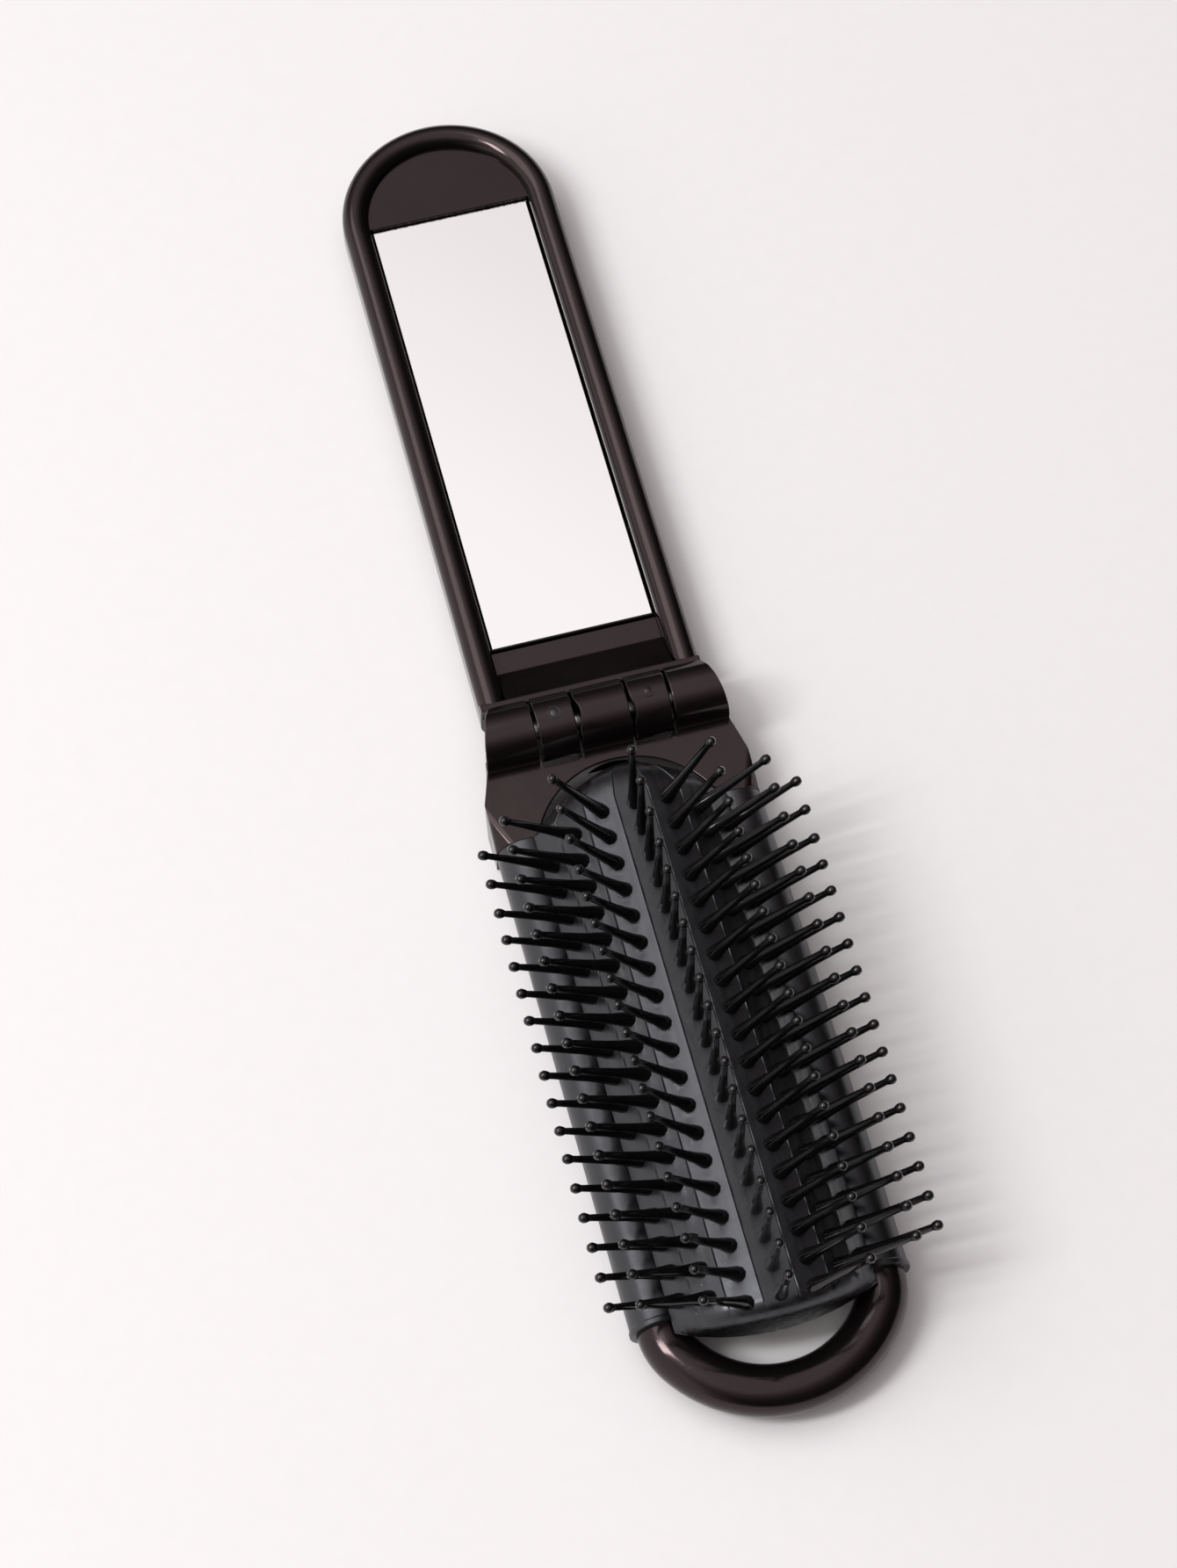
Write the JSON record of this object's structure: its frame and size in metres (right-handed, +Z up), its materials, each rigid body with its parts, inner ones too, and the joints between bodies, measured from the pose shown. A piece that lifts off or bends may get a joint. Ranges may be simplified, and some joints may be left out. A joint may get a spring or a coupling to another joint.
{
  "type": "folding hairbrush with mirror",
  "caption": "Folding travel hairbrush: an arched pad of ball-tipped pins on two sleeved rails with a hanging loop, hinged to a handle that holds a mirror.",
  "frame": {"origin": "centre of the bounding box in plan, on the resting plane", "axes": "+Y along the object from the hanging loop to the round end of the mirror handle, +Z up on the pin and mirror side, +X to the right seen from above"},
  "size_m": [0.0522, 0.2364, 0.0332],
  "materials": {
    "gloss_black": "glossy black injection moulding",
    "satin_black": "satin charcoal-black flexible moulding",
    "pin_steel": "drawn steel pin",
    "tape": "white double-sided foam adhesive",
    "silvered_glass": "silvered flat glass"
  },
  "bodies": {
    "brush": {"frame_deck": "gloss_black", "rail_left": "gloss_black", "rail_right": "gloss_black", "hanging_loop": "gloss_black", "sleeve_left": "satin_black", "sleeve_right": "satin_black", "pad_end_front": "satin_black", "pad_end_rear": "satin_black", "pin_panel_left_outer": "satin_black", "pin_panel_left_middle": "satin_black", "pin_panel_left_inner": "satin_black", "pin_panel_centre": "satin_black", "pin_panel_right_inner": "satin_black", "pin_panel_right_middle": "satin_black", "pin_panel_right_outer": "satin_black", "hinge_pin": "pin_steel"},
    "handle": {"handle_shell": "gloss_black", "mirror_tape": "tape", "mirror_glass": "silvered_glass", "knuckle_plug_left": "gloss_black", "knuckle_plug_right": "gloss_black"}
  },
  "joints": [
    {"name": "fold", "type": "hinge", "parent": "brush", "child": "handle", "pos_m": [0, -0.00075, 0.0097], "axis": [1, 0, 0], "range_deg": [0, 180], "deforming": ["pin_panel_left_outer", "pin_panel_left_middle", "pin_panel_left_inner", "pin_panel_centre", "pin_panel_right_inner", "pin_panel_right_middle", "pin_panel_right_outer", "pad_end_front", "pad_end_rear"]}
  ]
}
